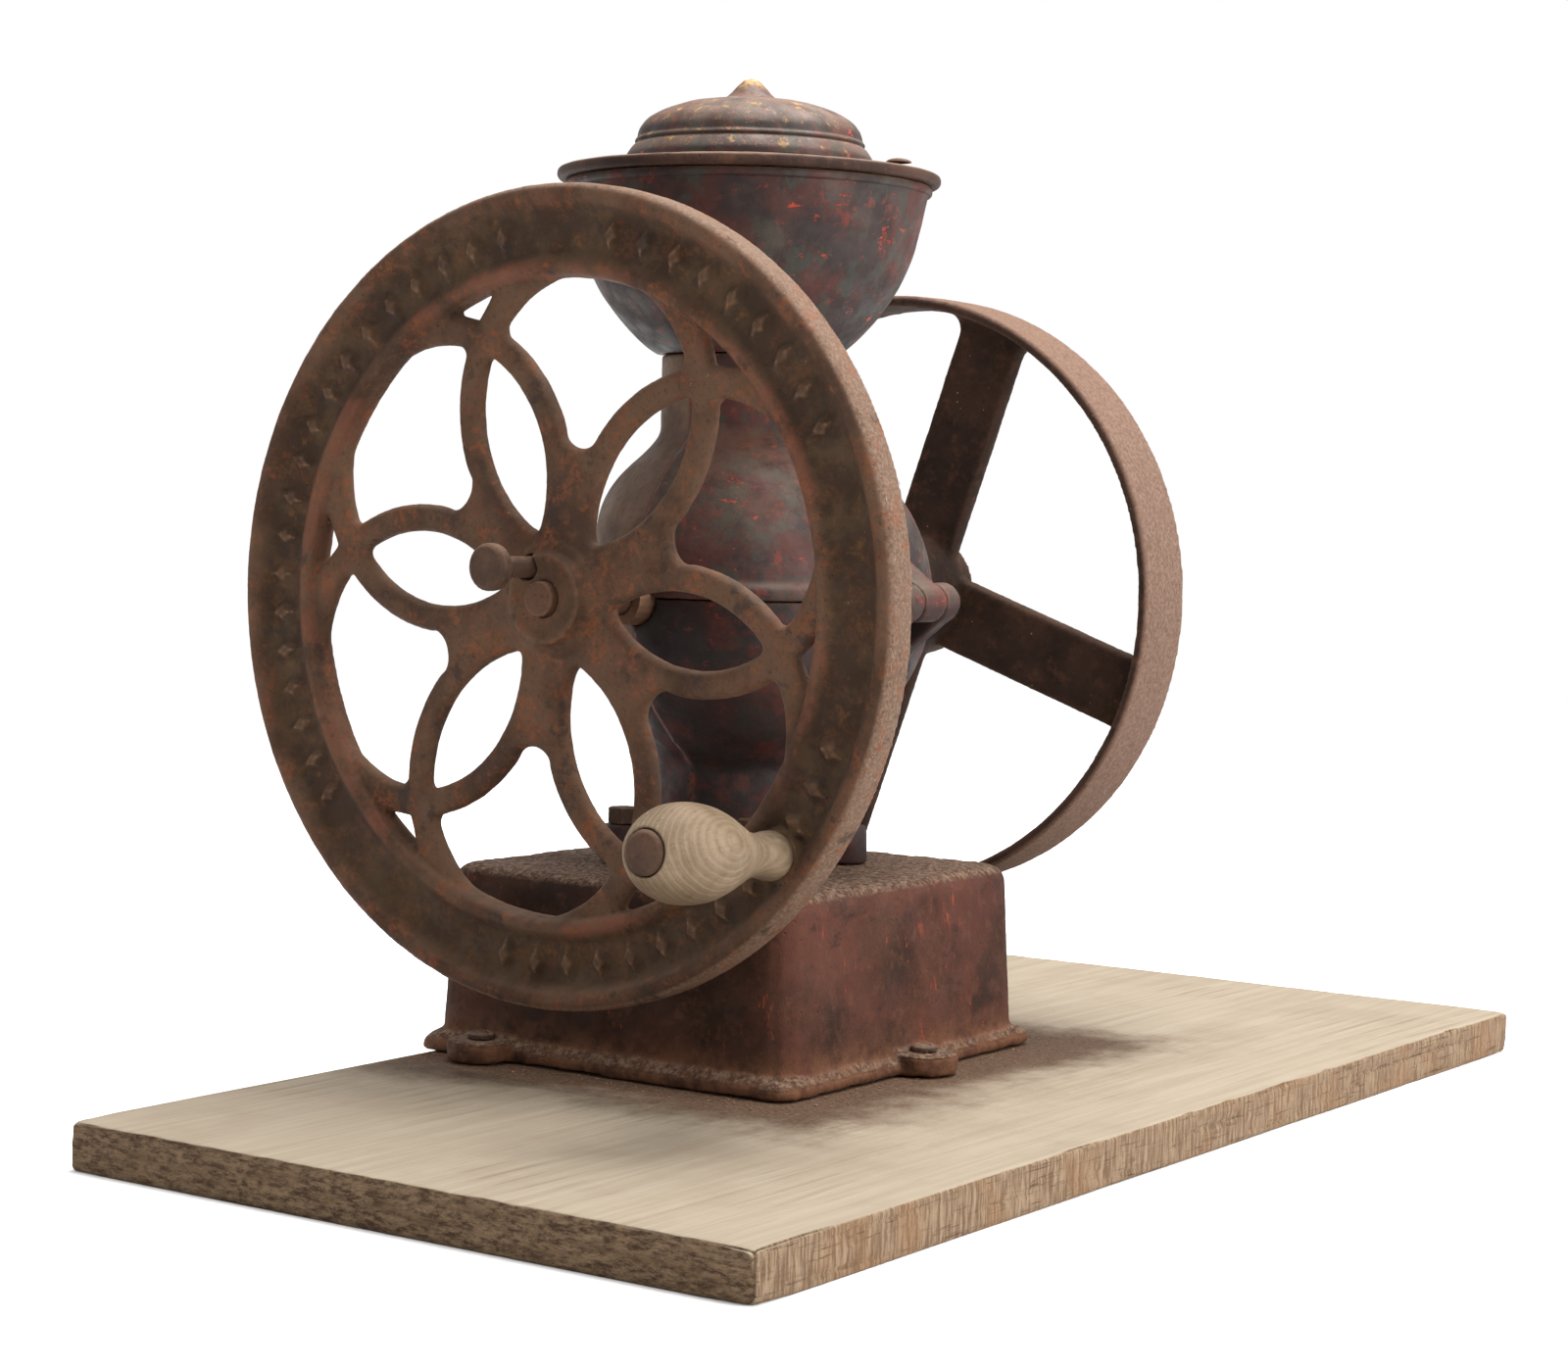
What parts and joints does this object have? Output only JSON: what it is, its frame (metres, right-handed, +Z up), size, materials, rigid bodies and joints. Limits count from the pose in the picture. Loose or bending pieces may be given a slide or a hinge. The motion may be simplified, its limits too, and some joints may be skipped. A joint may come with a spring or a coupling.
{
  "type": "grain mill",
  "caption": "Hand or belt driven counter grain mill: flywheel with pear handle, belt pulley, hinged grinding body with hopper, base box with drawer, on a plank.",
  "frame": {"origin": "on the underside of the board, straight below the axis of the hopper", "axes": "+Z up, +Y along the shaft from the flywheel to the belt pulley, +X towards the hinge of the body; the drawer pulls out towards -X"},
  "size_m": [0.511, 0.825, 0.573],
  "materials": {
    "board_wood": "weathered grey-brown softwood, matt",
    "dusty_iron": "rusty casting under brown dust",
    "red_iron": "worn dark red enamel over rust",
    "dark_iron": "dark rust",
    "steel": "rusted steel",
    "burr_iron": "bare worn iron",
    "grip_wood": "turned hardwood, worn bare",
    "tin": "dull tinplate"
  },
  "bodies": {
    "base": {"board": "board_wood", "base_box": "dusty_iron", "lug_screw_front": "steel", "lug_screw_right": "steel", "lug_screw_rear": "steel", "lower_body": "red_iron", "foot_bolt_front_left": "steel", "foot_bolt_front_right": "steel", "foot_bolt_rear_left": "steel", "foot_bolt_rear_right": "steel", "bush_front": "burr_iron", "bush_rear": "burr_iron", "feed_case": "dark_iron", "burr_fixed": "burr_iron", "burr_screw_1": "steel", "burr_screw_2": "steel", "burr_screw_3": "steel", "hinge_pin": "steel"},
    "drawer": {"drawer_tray": "tin", "drawer_front": "dark_iron", "drawer_pull": "steel"},
    "upper": {"upper_body": "red_iron", "hopper": "red_iron", "hopper_screw_1": "steel", "hopper_screw_2": "steel", "hopper_screw_3": "steel", "cover_ring": "dark_iron", "cover_screw_left": "steel", "cover_screw_right": "steel"},
    "lid": {"lid": "red_iron"},
    "rotor": {"shaft": "steel", "flywheel": "dark_iron", "flywheel_key": "steel", "belt_pulley": "dark_iron", "pulley_set_screw": "steel", "shaft_collar": "steel", "burr_turning": "burr_iron", "feed_screw": "dark_iron", "handle_bolt": "steel", "handle_nut": "steel"},
    "lock_screw": {"hub_lock_screw": "steel"},
    "grip": {"handle_grip": "grip_wood"}
  },
  "joints": [
    {"name": "shaft_spin", "type": "hinge", "parent": "base", "child": "rotor", "pos_m": [0, 0, 0.2822], "axis": [0, 1, 0], "continuous": true},
    {"name": "grip_spin", "type": "hinge", "parent": "rotor", "child": "grip", "pos_m": [0.1491, -0.171, 0.1595], "axis": [0, -0.9956, 0.0941], "continuous": true},
    {"name": "lock_screw_turn", "type": "hinge", "parent": "rotor", "child": "lock_screw", "pos_m": [-0.01147, -0.2, 0.29858], "axis": [0, -1, 0], "continuous": true},
    {"name": "body_opening", "type": "hinge", "parent": "base", "child": "upper", "pos_m": [0.121, 0, 0.2825], "axis": [0, 1, 0], "range_deg": [0, 90]},
    {"name": "lid_lift", "type": "slide", "parent": "upper", "child": "lid", "axis": [0, 0, 1], "range_m": [0, 0.12]},
    {"name": "drawer_slide", "type": "slide", "parent": "base", "child": "drawer", "axis": [-1, 0, 0], "range_m": [0, 0.18]}
  ]
}
